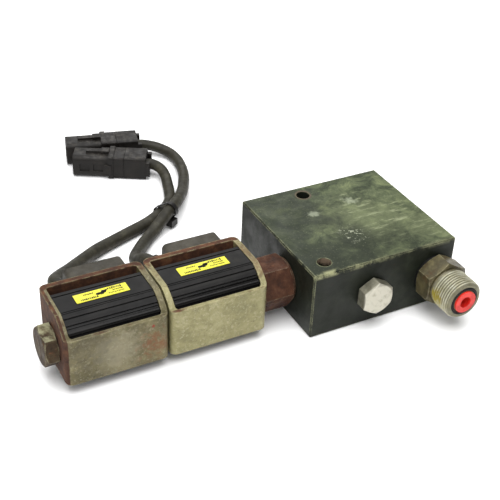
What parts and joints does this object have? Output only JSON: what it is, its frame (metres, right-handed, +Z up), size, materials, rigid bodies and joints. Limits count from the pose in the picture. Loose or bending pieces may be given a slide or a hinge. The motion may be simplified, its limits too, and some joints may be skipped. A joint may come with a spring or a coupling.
{
  "type": "solenoid directional valve",
  "caption": "Ported hydraulic block with a screw-in spool cartridge, stacked square solenoid coils, corded connectors, a hex port plug and an outlet fitting.",
  "frame": {"origin": "centre of the block's bottom face", "axes": "+X along the cartridge into the block, +Y to the back of the block, +Z up"},
  "size_m": [0.2534, 0.302, 0.046],
  "materials": {
    "block_iron": "worn dark green paint",
    "plated_steel": "zinc plated, dull",
    "olive_zinc": "yellow zinc, mottled",
    "rusty_steel": "rusty, dull",
    "bright_steel": "ground",
    "coil_moulding": "satin",
    "lead_moulding": "matt, dusty",
    "bobbin_plastic": "matt",
    "copper_wire": "enamelled",
    "label_yellow": "printed film",
    "seal_rubber": "matt",
    "jacket_rubber": "matt, dusty",
    "red_plastic": "moulded",
    "connector_plastic": "satin, dusty",
    "wire_seal_rubber": "matt"
  },
  "bodies": {
    "valve_body": {"manifold_block": "block_iron", "port_plug": "plated_steel", "port_plug_seal": "seal_rubber", "outlet_fitting": "olive_zinc", "outlet_stud_seal": "seal_rubber", "face_seal_ring": "seal_rubber", "cartridge_body": "rusty_steel", "cartridge_seals": "seal_rubber", "nose_spring": "bright_steel", "rod_spring": "bright_steel", "core_tube": "bright_steel", "pole_piece": "bright_steel", "left_coil_yoke": "olive_zinc", "right_coil_yoke": "olive_zinc", "left_coil_body": "coil_moulding", "right_coil_body": "coil_moulding", "left_bobbin": "bobbin_plastic", "right_bobbin": "bobbin_plastic", "left_winding": "copper_wire", "right_winding": "copper_wire", "left_coil_label": "label_yellow", "right_coil_label": "label_yellow", "left_lead_boss": "lead_moulding", "right_lead_boss": "lead_moulding", "left_strain_relief": "seal_rubber", "right_strain_relief": "seal_rubber", "coil_spacer": "seal_rubber", "coil_nut": "rusty_steel", "left_cable": "jacket_rubber", "right_cable": "jacket_rubber", "cable_tie": "connector_plastic", "front_connector_housing": "connector_plastic", "back_connector_housing": "connector_plastic", "front_connector_lock": "connector_plastic", "back_connector_lock": "connector_plastic", "front_wire_seal": "wire_seal_rubber", "back_wire_seal": "wire_seal_rubber", "front_terminals": "copper_wire", "back_terminals": "copper_wire"},
    "spool_set": {"spool": "bright_steel", "inner_armature": "bright_steel", "outer_armature": "bright_steel", "armature_rod": "bright_steel"},
    "dust_plug": {"dust_plug": "red_plastic"}
  },
  "joints": [
    {"name": "spool_slide", "type": "slide", "parent": "valve_body", "child": "spool_set", "axis": [1, 0, 0], "range_m": [-0.002, 0.002], "stiffness_N_per_m": 4000, "deforming": ["rod_spring", "nose_spring"]},
    {"name": "dust_plug_pull", "type": "slide", "parent": "valve_body", "child": "dust_plug", "axis": [0, -1, 0], "range_m": [0, 0.03]}
  ]
}
